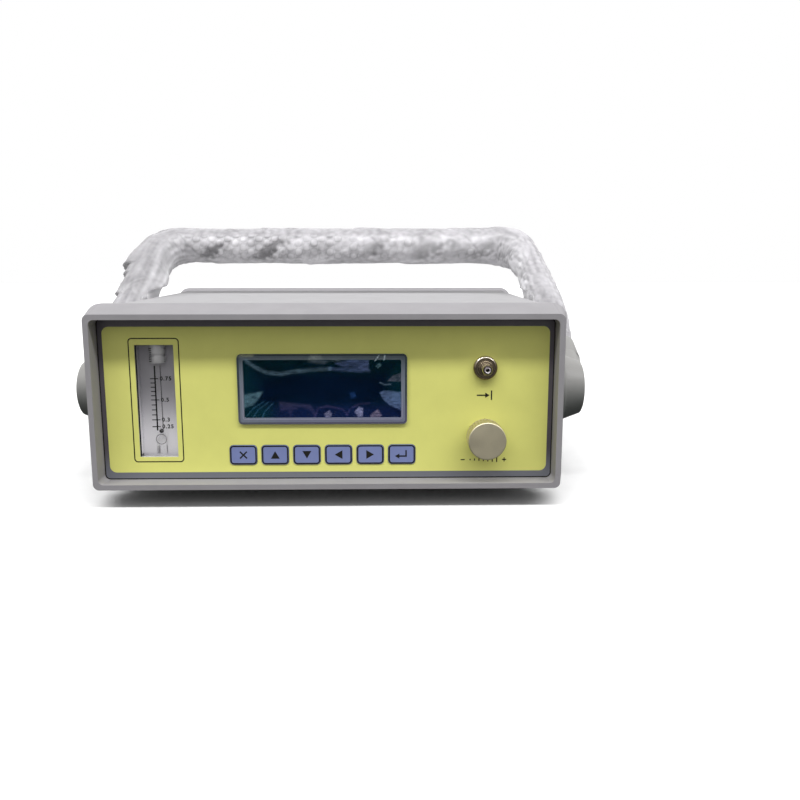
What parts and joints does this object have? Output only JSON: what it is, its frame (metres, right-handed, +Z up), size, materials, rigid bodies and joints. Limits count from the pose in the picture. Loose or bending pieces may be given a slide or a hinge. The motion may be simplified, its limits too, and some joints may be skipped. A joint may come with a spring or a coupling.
{
  "type": "gas moisture analyzer",
  "caption": "Portable gas moisture analyzer: flared grey case, recessed yellow-green panel with display, keys, flow meter, gas inlet and valve knob, and a swinging carry handle.",
  "frame": {"origin": "centre of the overall box on the bench plane under the feet", "axes": "+X to the right as the user faces the panel, +Y from the front panel to the rear, +Z up"},
  "size_m": [0.3774, 0.316, 0.1883],
  "materials": {
    "case_plastic": "fine moulded texture, light grey",
    "cover_paint": "satin light grey powder coat",
    "panel_metal": "satin anodised",
    "overlay_film": "printed yellow-green film with dark border",
    "display_frame": "satin grey",
    "clear_acrylic": "polished clear acrylic",
    "display_glass": "gloss dark blue-black",
    "circuit_board": "solder-mask green",
    "key_film": "matt lavender with dark outline",
    "float_black": "polished black",
    "nickel": "bright nickel plate",
    "brass": "turned",
    "steel": "satin",
    "knob_metal": "champagne satin, turned face and fluted rim",
    "handle_plastic": "fine moulded texture, grey",
    "handle_metal": "satin tube",
    "rubber": "matt black",
    "wrap_film": "clear bubble film",
    "switch_black": "satin black",
    "switch_red": "gloss red",
    "battery_wrap": "shrink sleeve, blue",
    "gas_tube": "translucent white"
  },
  "bodies": {
    "case": {"front_bezel": "case_plastic", "rear_bezel": "case_plastic", "top_cover": "cover_paint", "bottom_cover": "cover_paint", "tie_screws": "steel", "feet": "rubber", "foot_screws": "steel", "front_panel": "panel_metal", "panel_overlay": "overlay_film", "lcd_frame": "display_frame", "lcd_window": "clear_acrylic", "lcd_glass": "display_glass", "lcd_board": "circuit_board", "board_standoffs": "brass", "keypad_board": "circuit_board", "tact_switches": "switch_black", "meter_block": "clear_acrylic", "meter_plugs": "clear_acrylic", "meter_fittings": "nickel", "meter_bracket": "steel", "inlet_fitting": "nickel", "outlet_fitting": "nickel", "port_washers": "rubber", "port_nuts": "nickel", "valve_body": "brass", "valve_nut": "nickel", "pivot_bosses": "handle_plastic", "pivot_nuts": "steel", "pivot_bolts": "steel", "pivot_washers": "gas_tube", "rear_panel": "panel_metal", "switch_housing": "switch_black", "charge_jack": "switch_black", "serial_port": "nickel", "main_board": "circuit_board", "battery_pack": "battery_wrap", "sensor_cell": "steel", "gas_lines": "gas_tube"},
    "handle": {"handle_arm_left": "handle_plastic", "handle_arm_right": "handle_plastic", "handle_tube": "handle_metal", "handle_grip": "rubber", "handle_wrap": "wrap_film", "hub_cap_left": "handle_plastic", "hub_cap_right": "handle_plastic"},
    "knob": {"valve_knob": "knob_metal", "valve_spindle": "steel", "knob_screw": "steel"},
    "needle": {"valve_needle": "steel"},
    "float": {"meter_float": "float_black"},
    "rocker": {"switch_rocker": "switch_red"},
    "key_cancel_cap": {"key_cancel": "key_film"},
    "key_up_cap": {"key_up": "key_film"},
    "key_down_cap": {"key_down": "key_film"},
    "key_left_cap": {"key_left": "key_film"},
    "key_right_cap": {"key_right": "key_film"},
    "key_confirm_cap": {"key_confirm": "key_film"}
  },
  "joints": [
    {"name": "handle_swing", "type": "hinge", "parent": "case", "child": "handle", "pos_m": [0, -0.074, 0.069], "axis": [1, 0, 0], "range_deg": [-2, 185]},
    {"name": "flow_valve", "type": "hinge", "parent": "case", "child": "knob", "pos_m": [0.104, -0.136, 0.0466], "axis": [0, -1, 0], "range_deg": [0, 900]},
    {"name": "needle_travel", "type": "slide", "parent": "case", "child": "needle", "axis": [0, -1, 0], "range_m": [0, 0.0018]},
    {"name": "float_rise", "type": "slide", "parent": "case", "child": "float", "axis": [0, 0, 1], "range_m": [0, 0.04]},
    {"name": "power_switch", "type": "hinge", "parent": "case", "child": "rocker", "pos_m": [0.06, 0.146, 0.07], "axis": [1, 0, 0], "range_deg": [0, 20]},
    {"name": "key_cancel_press", "type": "slide", "parent": "case", "child": "key_cancel_cap", "axis": [0, 1, 0], "range_m": [0, 0.0008], "stiffness_N_per_m": 500, "springref_m": -0.002},
    {"name": "key_up_press", "type": "slide", "parent": "case", "child": "key_up_cap", "axis": [0, 1, 0], "range_m": [0, 0.0008], "stiffness_N_per_m": 500, "springref_m": -0.002},
    {"name": "key_down_press", "type": "slide", "parent": "case", "child": "key_down_cap", "axis": [0, 1, 0], "range_m": [0, 0.0008], "stiffness_N_per_m": 500, "springref_m": -0.002},
    {"name": "key_left_press", "type": "slide", "parent": "case", "child": "key_left_cap", "axis": [0, 1, 0], "range_m": [0, 0.0008], "stiffness_N_per_m": 500, "springref_m": -0.002},
    {"name": "key_right_press", "type": "slide", "parent": "case", "child": "key_right_cap", "axis": [0, 1, 0], "range_m": [0, 0.0008], "stiffness_N_per_m": 500, "springref_m": -0.002},
    {"name": "key_confirm_press", "type": "slide", "parent": "case", "child": "key_confirm_cap", "axis": [0, 1, 0], "range_m": [0, 0.0008], "stiffness_N_per_m": 500, "springref_m": -0.002}
  ],
  "couplings": [
    {"joint": "needle_travel", "follows": "flow_valve", "m_per_rad": 0.00011141}
  ]
}
